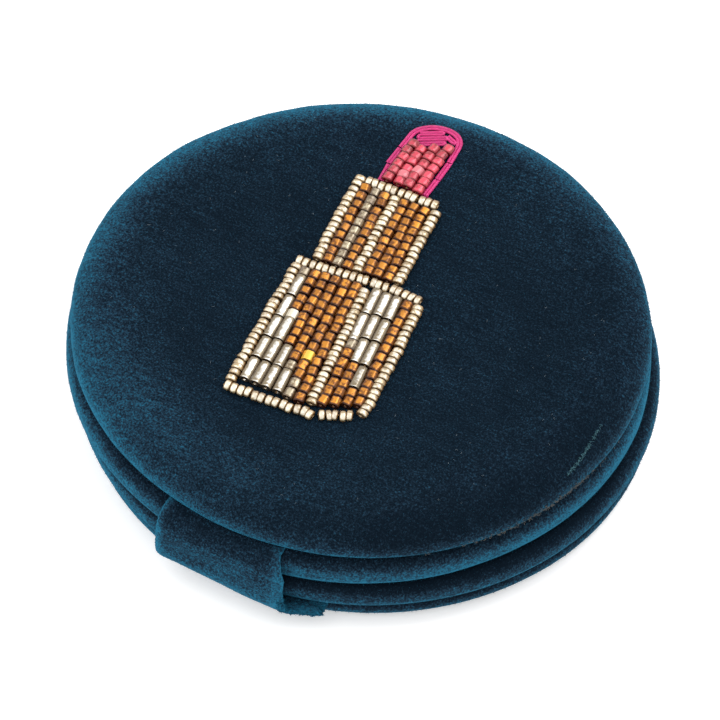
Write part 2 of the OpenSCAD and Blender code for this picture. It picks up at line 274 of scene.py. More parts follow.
def glass_bead(name, core, body, rim, metal, rough, streak, flecks, ends, coat=1.0, odd=None, warm=None):
    """Lined glass: a painted highlight down the middle where the lining shows, and painted shade towards the
    sides and ends.

    streak is the width of the painted highlight, flecks its unevenness, and ends the painted shade at a
    bead's two ends, where the mesh's far attribute is 1. The mesh's tint runs from a dull bead to a bright
    one. odd is the tint above which a bead has another colour, and that colour. warm paints a warm reflection
    on one flank.
    """
    mat, tree, shader = new_material(name)
    tint = attribute(tree, "tint")
    flaw = noise_node(tree, 0.0007, 2.0, 0.6)
    # Painted highlight and shade: where the leaned surface faces the camera it takes the core colour, turned
    # away the rim colour, darker again towards the ends
    level = maths(tree, "ADD", leaned_facing(tree, BEAD_LEAN), centred(tree, flaw, flecks))
    level = maths(tree, "ADD", level, maths(tree, "MULTIPLY", attribute(tree, "far"), ends))
    glass, wall = streak + 0.06, streak + 0.36
    shade = ramp(tree, level, [(0.0, core), (streak, core), (glass, body), (wall, rim), (1.0, rim)])
    if warm:
        # Painted reflection: a warm glow on the flank that faces WARM_SIDE
        shade = mix(tree, flank(tree, WARM_SIDE, start=0.5, gain=3.0, most=0.85), shade, warm)
    shade = mix(tree, tint, mix(tree, 1.0, shade, DULL, "MULTIPLY"), shade)
    if odd:
        rare = maths(tree, "GREATER_THAN", tint, odd[0])
        shade = mix(tree, rare, shade, odd[1])
    plug(tree, shade, shader.inputs["Base Color"])
    shader.inputs["Metallic"].default_value = metal
    shader.inputs["Roughness"].default_value = rough
    shader.inputs["Coat Weight"].default_value = coat
    shader.inputs["Coat Roughness"].default_value = 0.05
    bump(tree, flaw, 0.12, 0.0001, shader)
    return mat


def simple(name, colour, second, size, rough, metal=0.0, depth=0.0001):
    """Two close colours in a fine mottle, with a matching bump."""
    mat, tree, shader = new_material(name)
    grain = noise_node(tree, size, 4.0, 0.6)
    plug(tree, mix(tree, grain, colour, second), shader.inputs["Base Color"])
    shader.inputs["Roughness"].default_value = rough
    shader.inputs["Metallic"].default_value = metal
    bump(tree, grain, 0.3, depth, shader)
    return mat


def mirror_material():
    """Silvered glass with a faint haze."""
    mat, tree, shader = new_material("silvered_glass")
    haze = noise_node(tree, 0.01, 2.0, 0.5)
    plug(tree, mix(tree, haze, (0.86, 0.89, 0.9), (0.9, 0.92, 0.92)), shader.inputs["Base Color"])
    shader.inputs["Metallic"].default_value = 1.0
    shader.inputs["Roughness"].default_value = 0.03
    shader.inputs["Coat Weight"].default_value = 1.0
    return mat


# ---------------------------------------------------------------- mesh helpers
def add_piece(name, verts, faces, mat, body, smooth=True, tint=None):
    """A mesh piece that rides on a body. tint is a number at each vertex, for the materials."""
    mesh = bpy.data.meshes.new(name)
    mesh.from_pydata([tuple(v) for v in verts], [], [tuple(f) for f in faces])
    mesh.validate()
    mesh.update()
    if smooth:
        mesh.polygons.foreach_set("use_smooth", [True] * len(mesh.polygons))
    if tint is not None:
        layer = mesh.attributes.new("tint", "FLOAT", "POINT")
        layer.data.foreach_set("value", np.asarray(tint, np.float32))
    mesh.materials.append(mat)
    obj = bpy.data.objects.new(name, mesh)
    bpy.context.scene.collection.objects.link(obj)
    if body:
        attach(obj, body)
    return obj


def grid_faces(rows, cols, close_rows=False, base=0):
    """Quads of a grid that closes round its columns, and round its rows too if asked."""
    out = []
    for i in range(rows if close_rows else rows - 1):
        j = (i + 1) % rows
        for k in range(cols):
            m = (k + 1) % cols
            out.append((base + i * cols + k, base + i * cols + m, base + j * cols + m, base + j * cols + k))
    return out


def arc(cx, cz, rx, rz, a0, a1, n):
    """Points on an ellipse from angle a0 to a1 in degrees, measured from +r towards +z."""
    angles = np.radians(np.linspace(a0, a1, n))
    return [(cx + rx * math.cos(a), cz + rz * math.sin(a)) for a in angles]


def fibres(verts, faces, count, length, width, lean, rng):
    """Tiny closed spikes scattered over a mesh, standing for the pile: three-sided, with a root and a tip."""
    v = np.asarray(verts, float)
    tris = np.array(
        [t for f in faces for t in ((f[0], f[1], f[2]), (f[0], f[2], f[-1])) if len(set(t)) == 3]
    )
    a, b, c = v[tris[:, 0]], v[tris[:, 1]], v[tris[:, 2]]
    cross = np.cross(b - a, c - a)
    area = np.linalg.norm(cross, axis=1)
    pick = rng.choice(len(tris), count, p=area / area.sum())
    s, t = rng.random(count), rng.random(count)
    flip = s + t > 1
    s[flip], t[flip] = 1 - s[flip], 1 - t[flip]
    root = a[pick] + (b - a)[pick] * s[:, None] + (c - a)[pick] * t[:, None]
    up = cross[pick] / area[pick][:, None]
    way = up + rng.normal(0, lean, (count, 3))
    way /= np.linalg.norm(way, axis=1)[:, None]
    tall = length * rng.uniform(0.5, 1.2, count)[:, None]
    side = np.cross(way, rng.normal(size=(count, 3)))
    side /= np.linalg.norm(side, axis=1)[:, None]
    other = np.cross(way, side)
    root = root - up * width
    cos60, sin60 = 0.5, 0.87
    points = np.empty((count, 4, 3))
    points[:, 0] = root + side * width
    points[:, 1] = root - side * width * cos60 + other * width * sin60
    points[:, 2] = root - side * width * cos60 - other * width * sin60
    points[:, 3] = root + way * tall
    first = np.arange(count)[:, None] * 4
    shape = np.array([(0, 1, 3), (1, 2, 3), (2, 0, 3), (0, 2, 1)])
    return points.reshape(-1, 3), (first[:, :, None] + shape[None]).reshape(-1, 3)


def with_fibres(verts, faces, skin, count, length, width=0.035 * MM, lean=0.5):
    """A mesh's points and faces, with fibres stood on some of its faces."""
    spikes, spike_faces = fibres(verts, skin, count, length, width, lean, RNG)
    start = len(verts)
    verts = list(verts) + [tuple(p) for p in spikes]
    return verts, faces + [tuple(int(i) + start for i in f) for f in spike_faces]


def curve_points(points, per_span):
    """Points along a Catmull-Rom curve through the given ones, and how far along it each one is."""
    pts = [np.array(p, float) for p in points]
    pts = [2 * pts[0] - pts[1]] + pts + [2 * pts[-1] - pts[-2]]
    fine = []
    for a, b, c, d in zip(pts, pts[1:], pts[2:], pts[3:]):
        for t in np.linspace(0, 1, per_span, endpoint=False):
            square, cube = (2 * a - 5 * b + 4 * c - d) * t**2, (3 * b - a - 3 * c + d) * t**3
            fine.append(0.5 * (2 * b + (c - a) * t + square + cube))
    fine.append(pts[-2])
    fine = np.array(fine)
    run = np.concatenate([[0], np.cumsum(np.linalg.norm(np.diff(fine, axis=0), axis=1))])
    return fine, run


def spaced(fine, run, at):
    """The places at the given distances along a flat curve."""
    return np.stack([np.interp(at, run, fine[:, i]) for i in range(2)], 1)


# ---------------------------------------------------------------- velvet pads and rings
SEGMENTS = 360
# How far the outline may stray inwards, in mm: more lets the wadding show through the velvet
INWARD_LIMIT = 0.25
# Radius from which a cover has its full waves, and radius from which it has its full lumps
WAVY_RADIUS, LUMPY_RADIUS = 0.047, 0.04
# Broad and fine lumps per metre
BROAD_LUMPS, FINE_LUMPS = 90, 320
# Least height of a pad over the table
TABLE_GAP = 0.03 * MM


def middle(node):
    """The x and y of a round node's centre, its radius, and its lowest and highest z."""
    lo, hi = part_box(node)
    return (lo.x + hi.x) / 2, (lo.y + hi.y) / 2, (hi.x - lo.x) / 2, lo.z, hi.z


def outline(angle, waves):
    """How far the sewn outline strays from a circle, in mm, at an angle."""
    return max(-INWARD_LIMIT, sum(amp * math.cos(k * angle - math.radians(at)) for k, amp, at in waves))


def lathe(profile, centre, waves, roughness, seed):
    """Turns a closed profile of (r, z) in metres, with an outline and a surface that are a little uneven."""
    cx, cy = centre
    verts = []
    for r, z in profile:
        for k in range(SEGMENTS):
            a = TURN * k / SEGMENTS
            grow = outline(a, waves) * MM * min(1.0, (r / WAVY_RADIUS) ** 4)
            p = Vector((cx + (r + grow) * math.cos(a), cy + (r + grow) * math.sin(a), z))
            soft = noise.noise(p * BROAD_LUMPS + Vector((seed, 0, 0))) * roughness
            soft += noise.noise(p * FINE_LUMPS + Vector((0, seed, 0))) * roughness * 0.4
            p.x += soft * math.cos(a) * min(1.0, r / LUMPY_RADIUS)
            p.y += soft * math.sin(a) * min(1.0, r / LUMPY_RADIUS)
            p.z += soft * 0.5
            verts.append(tuple(p))
    return verts


def pad_profile(radius, seam, crown, up, broad):
    """A padded cover in section, from the middle of its face over the shoulder to the seam, and back inside.

    broad is the radius of its rounded shoulder. up is 1 where the face looks up and -1 where it looks down.
    """
    waist, small = 2.0 * MM, (3.0 if up > 0 else 2.4) * MM
    mid = seam + up * waist
    drop = broad - abs(crown - mid)
    reach = math.sqrt((broad - small) ** 2 - drop**2)
    inner = radius - small - reach
    turn = math.degrees(math.atan2(drop, reach))
    dome = (0.2 if up > 0 else 0.0) * MM
    flat = [0.4 * MM * k * k for k in range(1, 11)] + [inner]
    out = [(r, crown + up * dome * (1 - (r / inner) ** 2)) for r in flat]
    for r, z in arc(inner, 0, broad, broad, 90, turn, 12)[1:]:
        out.append((r, crown + up * (z - broad)))
    for r, z in arc(radius - small, 0, small, small, turn, 0, 9)[1:]:
        out.append((r, mid + up * z))
    for r, z in arc(radius - waist, 0, waist, waist * 0.96, 0, -84, 8)[1:]:
        out.append((r, mid + up * z))
    skin, hem = 0.6 * MM, radius - 8 * MM
    under = crown - up * skin * 1.5
    out += [(radius - 4.2 * MM, seam + up * 0.06 * MM), (hem, seam + up * 0.02 * MM), (hem, seam + up * skin)]
    out += [(radius - 3 * MM, seam + up * (skin + 0.5 * MM)), (radius - 2.2 * MM, mid)]
    out += [(inner, under), (flat[0], under)]
    return out


def smooth(value, start, end):
    """0 up to start, 1 from end on, and an even rise between them."""
    t = np.clip((value - start) / (end - start), 0, 1)
    return t * t * (3 - 2 * t)


def sheen_lift(verts, centre, shoulder, even, uneven, patches=()):
    """How much painted sheen lightens the pile's colour at each vertex, or darkens it where negative: more on
    the shoulder, and more on some sides of it.

    uneven is the most that one side gains, and the angle of that side. Each patch is a strength, an angle,
    and the radii where it starts and is full.
    """
    v = np.asarray(verts)[:, :2] - np.array(centre)
    away, angle = np.linalg.norm(v, axis=1), np.arctan2(v[:, 1], v[:, 0])
    amount, at = uneven
    lift = smooth(away, *shoulder) * (even + amount * np.cos(angle - math.radians(at)))
    for strength, at, start, end in patches:
        near = np.clip(np.cos(angle - math.radians(at)), 0, 1) ** 3
        lift += strength * near * smooth(away, start, end)
    return lift


def make_pad(name, node, body, up, mat, waves, seed, pile):
    """One of the two padded covers, in place of its CAD node. up is 1 for the lid and -1 for the base."""
    cx, cy, radius, low, high = middle(node)
    seam, crown = (low, high) if up > 0 else (high, low)
    profile = pad_profile(radius, seam, crown, up, broad=(9.0 if up > 0 else 7.0) * MM)
    verts = lathe(profile, (cx, cy), waves, 0.14 * MM, seed)
    faces = grid_faces(len(profile), SEGMENTS, close_rows=True)
    if up > 0:
        faces = [f[::-1] for f in faces]
    hidden = 6  # points of the profile that lie inside
    outer = [f for f in faces if max(f) < (len(profile) - hidden) * SEGMENTS]
    verts, faces = with_fibres(verts, faces, outer, pile, 0.45 * MM)
    verts = [(x, y, max(z, TABLE_GAP)) for x, y, z in verts]
    # Painted sheen, lightening the pad's shoulder, most on one side and in one patch
    tint = sheen_lift(verts, (cx, cy), shoulder=(0.038, 0.0485), even=0.13, uneven=(0.24, 135),
                    patches=[(0.24, 250, 0.030, 0.043)])
    obj = add_piece(name, verts, faces, mat, body, tint=tint)
    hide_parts(node)
    return obj


def ring_profile(outer, window, pocket, seam, meet, corner):
    """A velvet-covered ring in section. seam is its pad side, and meet the side that closes on the other."""
    up = 1 if meet > seam else -1
    tall = abs(meet - seam)
    lip, under = 1.3 * MM, 2.25 * MM
    low, high = corner
    out = [(r, seam + up * z) for r, z in arc(outer - low, low, low, low, -88, 0, 10)]
    out += [(r, seam + up * z) for r, z in arc(outer - high, tall - high, high, high, 0, 88, 10)]
    for r in np.linspace(outer - high - 1.5 * MM, window + lip + 0.5 * MM, 7):
        out.append((r, meet))
    for a in np.radians(np.linspace(90, 180, 6)):
        out.append((window + lip + lip * math.cos(a), meet - up * (lip - lip * math.sin(a))))
    out.append((window, seam + up * (under + 0.4 * MM)))
    out.append((window + 0.3 * MM, seam + up * under))
    out.append((pocket, seam + up * under))
    out.append((pocket, seam + up * 0.02 * MM))
    out.append((outer - low - 3 * MM, seam + up * 0.02 * MM))
    return out, up


def make_ring(name, node, mirror, body, up_is_seam, mat, waves, seed, pile, corner, sag, even, uneven):
    """One of the two rolled rings, in place of its CAD node. sag lowers its underside."""
    cx, cy, radius, low, high = middle(node)
    seam, meet = (high, low - sag) if up_is_seam else (low - sag, high)
    glass = middle(mirror)[2]
    window, pocket = glass - 1.6 * MM, glass + 0.4 * MM
    profile, up = ring_profile(radius, window, pocket, seam, meet, corner)
    verts = lathe(profile, (cx, cy), waves, 0.1 * MM, seed)
    faces = grid_faces(len(profile), SEGMENTS, close_rows=True)
    if up < 0:
        faces = [f[::-1] for f in faces]
    seen = 30  # points of the profile from the seam round to the window's lip
    outer = [f for f in faces if max(f) < seen * SEGMENTS]
    verts, faces = with_fibres(verts, faces, outer, pile, 0.4 * MM)
    # Painted sheen, lightening or darkening the ring's outside
    tint = sheen_lift(verts, (cx, cy), (0.03, 0.04), even, uneven)
    obj = add_piece(name, verts, faces, mat, body, tint=tint)
    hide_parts(node)
    return obj


# ---------------------------------------------------------------- beads
def islands(node):
    """Centre, direction, length and diameter of each bead of a CAD bead node."""
    work = bmesh.new()
    work.from_mesh(NODES[node].data)
    weld = 2e-6
    bmesh.ops.remove_doubles(work, verts=work.verts, dist=weld)
    found, seen = [], set()
    for v in work.verts:
        if v.index in seen:
            continue
        seen.add(v.index)
        group, todo = [], [v]
        while todo:
            w = todo.pop()
            group.append(w.co[:])
            for e in w.link_edges:
                o = e.other_vert(w)
                if o.index not in seen:
                    seen.add(o.index)
                    todo.append(o)
        found.append(measure(np.array(group)))
    work.free()
    return found


def measure(points):
    """Centre, direction, length and diameter of one bead that lies flat, from its points."""
    mid = (points.min(0) + points.max(0)) / 2
    rel = points - mid
    best = None
    for a in np.radians(np.arange(0, 180, 0.5)):
        across = -rel[:, 0] * math.sin(a) + rel[:, 1] * math.cos(a)
        reach = (across**2 + rel[:, 2] ** 2).max()
        if best is None or reach < best[0]:
            best = (reach, a)
    along = rel[:, 0] * math.cos(best[1]) + rel[:, 1] * math.sin(best[1])
    return mid, best[1], along.max() - along.min(), 2 * math.sqrt(best[0])


def tube_bead(length, width, bore, soft, facet, sides=24):
    """One bead along X: cut or rounded rims, round or six-sided, with an open bore."""
    r, h = width / 2, length / 2
    c = min(soft, h * 0.9, (r - bore) * 0.9)
    prof = [(bore, -h + c * 0.4), (bore + (r - c - bore) * 0.5, -h)]
    for k in range(4):
        a = math.radians(30 * k)
        prof.append((r - c + c * math.sin(a), -h + c - c * math.cos(a)))
    prof += [(r, h * part) for part in (-0.82, -0.68, 0.68, 0.82) if h * abs(part) < h - c]
    for k in range(4):
        a = math.radians(90 - 30 * k)
        prof.append((r - c + c * math.sin(a), h - c + c * math.cos(a)))
    prof += [(bore + (r - c - bore) * 0.5, h), (bore, h - c * 0.4)]
    verts = []
    for q, x in prof:
        for k in range(sides):
            a = TURN * k / sides
            six = math.cos(math.pi / 6) / math.cos((a + math.pi / 6) % (math.pi / 3) - math.pi / 6)
            grow = 1 - facet + facet * six if q > bore * 1.01 else 1.0
            verts.append((x, q * grow * math.cos(a), q * grow * math.sin(a)))
    return np.array(verts), grid_faces(len(prof), sides, close_rows=True)


def bead_piece(name, node, mat, body="lid", soft=0.3, facet=0.0, bore=0.14,
               wobble=2.0, gloss=(0.2, 0.9), press=0.1, fat=1.12, long=1.0, stray=0.04):
    """A node's beads again as rounded glass, each a touch out of line as sewn by hand."""
    verts, faces, tint, far = [], [], [], []
    count = 0
    for mid, turn, length, width in islands(node):
        turn += math.radians(RNG.normal(0, wobble))
        spin = math.radians(RNG.normal(30, 9))
        shape, quads = tube_bead(
            length * long * RNG.uniform(0.95, 1.03), width * RNG.uniform(0.95, 1.02), bore * width,
            soft * width, facet,
        )
        y = shape[:, 1] * math.cos(spin) - shape[:, 2] * math.sin(spin)
        z = shape[:, 1] * math.sin(spin) + shape[:, 2] * math.cos(spin)
        x = shape[:, 0]
        y = y * fat
        tip = RNG.normal(0, 0.03)
        shift = RNG.normal(0, stray, 2) * MM
        world = np.stack(
            [
                mid[0] + x * math.cos(turn) - y * math.sin(turn) + shift[0],
                mid[1] + x * math.sin(turn) + y * math.cos(turn) + shift[1],
                mid[2] + z + x * tip - press * MM,
            ],
            1,
        )
        verts.append(world)
        faces += [tuple(i + count for i in f) for f in quads]
        tint += [RNG.uniform(*gloss)] * len(shape)
        far += list(smooth(np.abs(shape[:, 0]) / np.abs(shape[:, 0]).max(), 0.66, 0.84))
        count += len(shape)
    obj = add_piece(name, np.concatenate(verts), faces, mat, body, tint=tint)
    mark = obj.data.attributes.new("far", "FLOAT", "POINT")
    mark.data.foreach_set("value", far)
    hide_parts(node)


def coil(points, height, reach, wide, wire=0.075 * MM, pitch=0.2 * MM, sides=5, around=10):
    """A close coil of fine wire along a flat curve through some points, as one closed tube.

    reach is the coil's outer radius, and wide how many times as wide as high it is.
    """
    fine, gone = curve_points(points, 30)
    step = 0.04 * MM
    path = spaced(fine, gone, np.arange(0, gone[-1], step))
    run = np.arange(len(path)) * step
    turns = max(3, int(run[-1] / pitch))
    steps = turns * around
    centre = spaced(path, run, np.linspace(0, run[-1], steps))
    along = np.gradient(centre, axis=0)
    along /= np.linalg.norm(along, axis=1)[:, None]
    across = np.stack([-along[:, 1], along[:, 0]], 1)
    a = np.linspace(0, turns * TURN, steps)
    out = np.stack([across[:, 0] * np.cos(a) * wide, across[:, 1] * np.cos(a) * wide, np.sin(a)], 1)
    tangent = np.concatenate([along, np.zeros((steps, 1))], 1)
    mid = np.concatenate([centre, np.full((steps, 1), height)], 1) + out * (reach - wire)
    rings = [mid + wire * (out * math.cos(b) + tangent * math.sin(b))
             for b in np.linspace(0, TURN, sides, endpoint=False)]
    verts = np.stack(rings, 1).reshape(-1, 3)
    faces = [tuple(reversed(f)) for f in grid_faces(steps, sides)]
    faces.append(tuple(range(sides)))
    faces.append(tuple((steps - 1) * sides + k for k in range(sides))[::-1])
    return verts, faces


def coil_piece(name, node, paths, mat, slot, height, reach, wide, body="lid"):
    """A node's purl again as coils of wire along some paths."""
    verts, faces, tint, count = [], [], [], 0
    for path in paths:
        v, f = coil(path, height, reach, wide)
        verts.append(v)
        faces += [tuple(i + count for i in face) for face in f]
        tint += [RNG.uniform(0.6, 1.0)] * len(v)
        count += len(v)
    obj = add_piece(name, np.concatenate(verts), faces, mat, body, tint=tint)
    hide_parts(node)


def ends_of(piece):
    """The two ends of a measured bead, in plan."""
    mid, turn, length, _ = piece
    half = np.array([math.cos(turn), math.sin(turn)]) * length / 2
    return mid[:2] - half, mid[:2] + half


def outline_strands():
    """Paths of the two strands of purl round the motif's tip: single pieces up the sides, a curve on top."""
    pieces = islands("lip_outline_purl")
    mids = np.array([p[0][:2] for p in pieces])
    hub_drop, crown_rise = 1.0 * MM, 5.0 * MM
    hub = (mids.min(0) + mids.max(0)) / 2
    hub[1] -= hub_drop
    crown = hub[1] + crown_rise
    away = np.linalg.norm(mids - hub, axis=1)
    near = np.linalg.norm(mids[:, None] - mids[None], axis=2)
    np.fill_diagonal(near, 1)
    outer = away > away[near.argmin(1)]
    paths = []
    for side in (True, False):
        chosen = [i for i in range(len(pieces)) if outer[i] == side]
        chosen.sort(key=lambda i: (math.atan2(*(mids[i] - hub)) + TURN + math.pi) % TURN)
        points = []
        for i in chosen:
            one, two = ends_of(pieces[i])
            if points and np.linalg.norm(one - points[-1][-1]) > np.linalg.norm(two - points[-1][-1]):
                one, two = two, one
            if not points and one[1] > two[1]:
                one, two = two, one
            points.append((one, mids[i], two))
        sides = [q for q in points if q[1][1] < crown]
        half = [q for q in sides if q[1][0] < hub[0]]
        rest = [q for q in sides if q[1][0] >= hub[0]]
        top = [q[1] for q in points if q[1][1] >= crown]
        paths += [[q[0], q[1], q[2]] for q in half]
        paths.append([half[-1][2]] + top + [rest[0][0]])
        paths += [[q[0], q[1], q[2]] for q in rest]
    return paths


def tip_strands():
    """Strands of purl laid to and fro across the tip, looped at their ends: the long rows, then the short."""
    rows = sorted((ends_of(p) for p in islands("lip_tip_purl")), key=lambda e: -(e[0][1] + e[1][1]))
    shortest, past, loop = 2.4 * MM, 0.35, 0.22
    long = [e for e in rows if np.linalg.norm(e[0] - e[1]) > shortest]
    short = [e for e in rows if np.linalg.norm(e[0] - e[1]) <= shortest]
    paths = []
    for group in (long, short):
        path = []
        for k, (one, two) in enumerate(group):
            left, right = (one, two) if one[0] < two[0] else (two, one)
            first, last = (left, right) if k % 2 == 0 else (right, left)
            way = (last - first) / np.linalg.norm(last - first)
            first, last = first - way * past * MM, last + way * past * MM
            path += [first, first * 0.5 + last * 0.5, last]
            if k + 1 < len(group):
                path.append(last + way * loop * MM + np.array([0.06, -0.26]) * MM)
        if path:
            paths.append(path)
    return paths


# ---------------------------------------------------------------- hinge
def smooth_path(points, steps):
    """Even steps along a smooth curve through points, with the outward normal of each."""
    fine, run = curve_points(points, 24)
    line = spaced(fine, run, np.linspace(0, run[-1], steps))
    slope = np.gradient(line, axis=0)
    slope /= np.linalg.norm(slope, axis=1)[:, None]
    return line, np.stack([-slope[:, 1], slope[:, 0]], 1)


# The hinge's middle line from the base's seam round the spine to the lid's, as (y, z) in mm from the
# spine's middle and the underside of the base's tail. It is drawn for two tails that span HINGE_TALL.
HINGE_TALL = 11.0
HINGE_LINE = [
    (6.2, 0.3), (4.0, 0.25), (2.4, 0.0), (1.1, -0.1), (0.2, 0.55), (-0.45, 1.7), (-0.65, 3.2),
    (-0.65, 5.5), (-0.6, 7.2), (-0.35, 8.6), (0.35, 9.8), (1.35, 10.55), (2.6, 10.85),
    (4.2, 10.75), (6.2, 10.7),
]
HINGE_STEPS = 80
# Width of the rounded edge on each side of the strap
HINGE_RIM = 1.7 * MM
# How much wider to the right the strap is over its lower half and at its frayed end, and how much narrower
# near the lid
LOW_FLARE, FRAYED_FLARE, LID_TAPER = 1.5 * MM, 4.4 * MM, 1.9 * MM
# The part of the length where the frayed end is full, and the part over which it fades
FRAYED_PART, FRAYED_FADE = 0.14, 0.13
# The part of the width where the fraying starts, and the rest of it
FRAYED_FROM, FRAYED_WIDTH = 0.85, 0.15


def strap_section(width):
    """The way round the strap: distances from its left edge over the outer face, then back over the inner."""
    cols, rim_cols = 44, 8
    across = [HINGE_RIM * (1 - math.cos(math.pi / 2 * k / rim_cols)) for k in range(rim_cols)]
    inner = list(np.linspace(HINGE_RIM, width - HINGE_RIM, cols))
    across = across + inner + [width - d for d in across[::-1]]
    return [(d, 1.0) for d in across] + [(d, -1.0) for d in across[::-1][1:-1]]


def strap_point(left_x, width, thick, s, d, face):
    """A point of the strap's skin: its x, its distance off the middle line, and how far it drops and bulges.

    s is the part of the length from the base's seam. The lower right end is frayed and flares out wide.
    """
    low = max(0.0, 1 - s / 0.5)
    tucked = max(0.0, 1 - max(0.0, s - FRAYED_PART) / FRAYED_FADE)
    flare_r = LOW_FLARE * low + FRAYED_FLARE * tucked * tucked * (3 - 2 * tucked)
    flare_r -= LID_TAPER * min(1.0, max(0.0, (s - 0.6) / 0.2))
    flare_l = 0.2 * MM * (1 - s) - 0.5 * MM * max(0, s - 0.7)
    t = d / width
    full = math.sqrt(max(0.0, 1 - (1 - min(1, min(d, width - d) / HINGE_RIM)) ** 2))
    x = left_x - flare_l + t * (width + flare_l + flare_r)
    soft = noise.noise(Vector((x * 150, s * 9, 4.0 + face))) * 0.16 * MM
    frayed = max(0.0, (t - FRAYED_FROM) / FRAYED_WIDTH) * min(1.0, low * 2)
    ragged = noise.noise(Vector((s * 60, 7.0, 3.0 * t))) * MM * (0.2 * (1 - full) + 0.9 * frayed)
    off = (thick * full * face + soft * full) * (1 + 1.1 * frayed * tucked)
    drop = (0.5 * t * min(1.0, low * 3) + 1.0 * frayed * tucked) * MM
    bulge = 0.7 * t * math.sin(math.pi * min(1.0, s / 0.6)) * MM
    return x + ragged, off, drop, bulge


def strap_sheen_lift(width, s, d):
    """How much painted sheen lightens the strap's pile: most along its two side edges, and a little near the
    base.
    """
    left, right = 1 - smooth(d, 0.0004, 0.0024), smooth(d / width, 0.88, 0.97)
    return 0.34 * left + 0.3 * right + 0.12 * smooth(0.5 - s, 0.0, 0.22)


def hinge_half(name, lower, mat):
    """Half of the cloth hinge: out of the seam, round the fold and up to the middle of the spine."""
    spine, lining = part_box("hinge_spine_cloth"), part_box("hinge_spine_lining")
    z_low, z_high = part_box("base_hinge_tail")[0].z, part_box("lid_hinge_tail")[1].z
    x0, x1, y_spine = spine[0].x, spine[1].x, (spine[0].y + lining[1].y) / 2
    width, thick = x1 - x0, (lining[1].y - spine[0].y) / 2 + 0.2 * MM
    stretch = (z_high - z_low) / (HINGE_TALL * MM)
    points = [(y_spine + y * MM, z_low + z * stretch * MM) for y, z in HINGE_LINE]
    line, normal = smooth_path(points, HINGE_STEPS + 1)
    middle_row = HINGE_STEPS // 2
    rows = range(middle_row + 1) if lower else range(middle_row, HINGE_STEPS + 1)
    section = strap_section(width)
    ring = len(section)
    verts, tint = [], []
    for i in rows:
        (y, z), (ny, nz), s = line[i], normal[i], i / HINGE_STEPS
        for d, face in section:
            x, off, drop, bulge = strap_point(x0, width, thick, s, d, face)
            verts.append((x, y - bulge + ny * off, z - drop + nz * off))
            # Painted sheen on the strap's edges and lower part
            tint.append(strap_sheen_lift(width, s, d))
    skin = []
    for i in range(len(rows) - 1):
        for k in range(ring):
            m = (k + 1) % ring
            skin.append((i * ring + k, (i + 1) * ring + k, (i + 1) * ring + m, i * ring + m))
    bare = np.array(verts)
    last = (len(rows) - 1) * ring
    faces = skin + [tuple(range(ring)), tuple(last + k for k in range(ring))[::-1]]
    verts, faces = with_fibres(verts, faces, skin, 7000, 0.45 * MM)
    if lower:
        raw_rows = 34  # rows of the lower half whose right edge is raw
        raw = [f for f in skin if verts[f[0]][0] > x1 - 0.6 * MM and f[0] // ring < raw_rows]
        verts, faces = with_fibres(verts, faces, raw, 2600, 0.75 * MM, 0.11 * MM, 0.7)
    for tuft in np.array(verts[len(tint):]).reshape(-1, 4, 3):
        tint += [tint[int(((bare - tuft[1]) ** 2).sum(1).argmin())]] * 4
    obj = add_piece(name, verts, faces, mat, None, tint=tint)
    ends = set(range(ring)) | set(range(last, last + ring))
    crisp = obj.data.attributes.new("sharp_edge", "BOOLEAN", "EDGE")
    for edge in obj.data.edges:
        one, two = edge.vertices
        crisp.data[edge.index].value = one in ends and two in ends
    x = (x0 + x1) / 2
    if lower:
        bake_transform(obj)
        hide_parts("base_hinge_tail", "hinge_spine_cloth")
    else:
        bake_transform(obj)
        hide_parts("lid_hinge_tail", "hinge_spine_lining")


# ---------------------------------------------------------------- lint
def surface(obj):
    """A lookup of a piece's own surface, in the frame it is built in."""
    mesh = obj.data
    return BVHTree.FromPolygons([v.co for v in mesh.vertices], [tuple(f.vertices) for f in mesh.polygons])


def lint(name, spots, mat, body, thin=0.02 * MM):
    """Curly fibres that cling to the velvet, each from a point on it, with a length."""
    verts, faces = [], []
    steps, sides = 9, 3
    for start, size in spots:
        count = len(verts)
        heading = RNG.uniform(0, TURN)
        bend = RNG.normal(0, 1.6)
        p = np.array(start)
        step = size / steps
        for i in range(steps):
            way = np.array([math.cos(heading), math.sin(heading), 0.0])
            across = np.array([-way[1], way[0], 0.0])
            fine = thin * (1 - 0.6 * abs(i / (steps - 1) - 0.5))
            for k in range(sides):
                a = TURN * k / sides
                verts.append(tuple(p + fine * (across * math.cos(a) + np.array([0, 0, 1.0]) * math.sin(a))))
            p = p + way * step + np.array([0, 0, RNG.normal(0, 0.03) * MM])
            heading += bend / steps + RNG.normal(0, 0.35)
        faces += grid_faces(steps, sides, base=count)
        faces.append((count + 2, count + 1, count))
        last = count + (steps - 1) * sides
        faces.append((last, last + 1, last + 2))
    return add_piece(name, verts, faces, mat, body)


# ---------------------------------------------------------------- build
make_camera()
VELVET_TOP = velvet("velvet_top", lift=0.08)
VELVET_BASE = velvet("velvet_bottom", lift=0.1)
VELVET_RING = velvet("velvet_rolled", lean=(0.05, -0.1, -0.16), lift=0.08)
VELVET_BAND = velvet("velvet_band", lean=(0.12, -0.1, 0.0), lift=0.14)

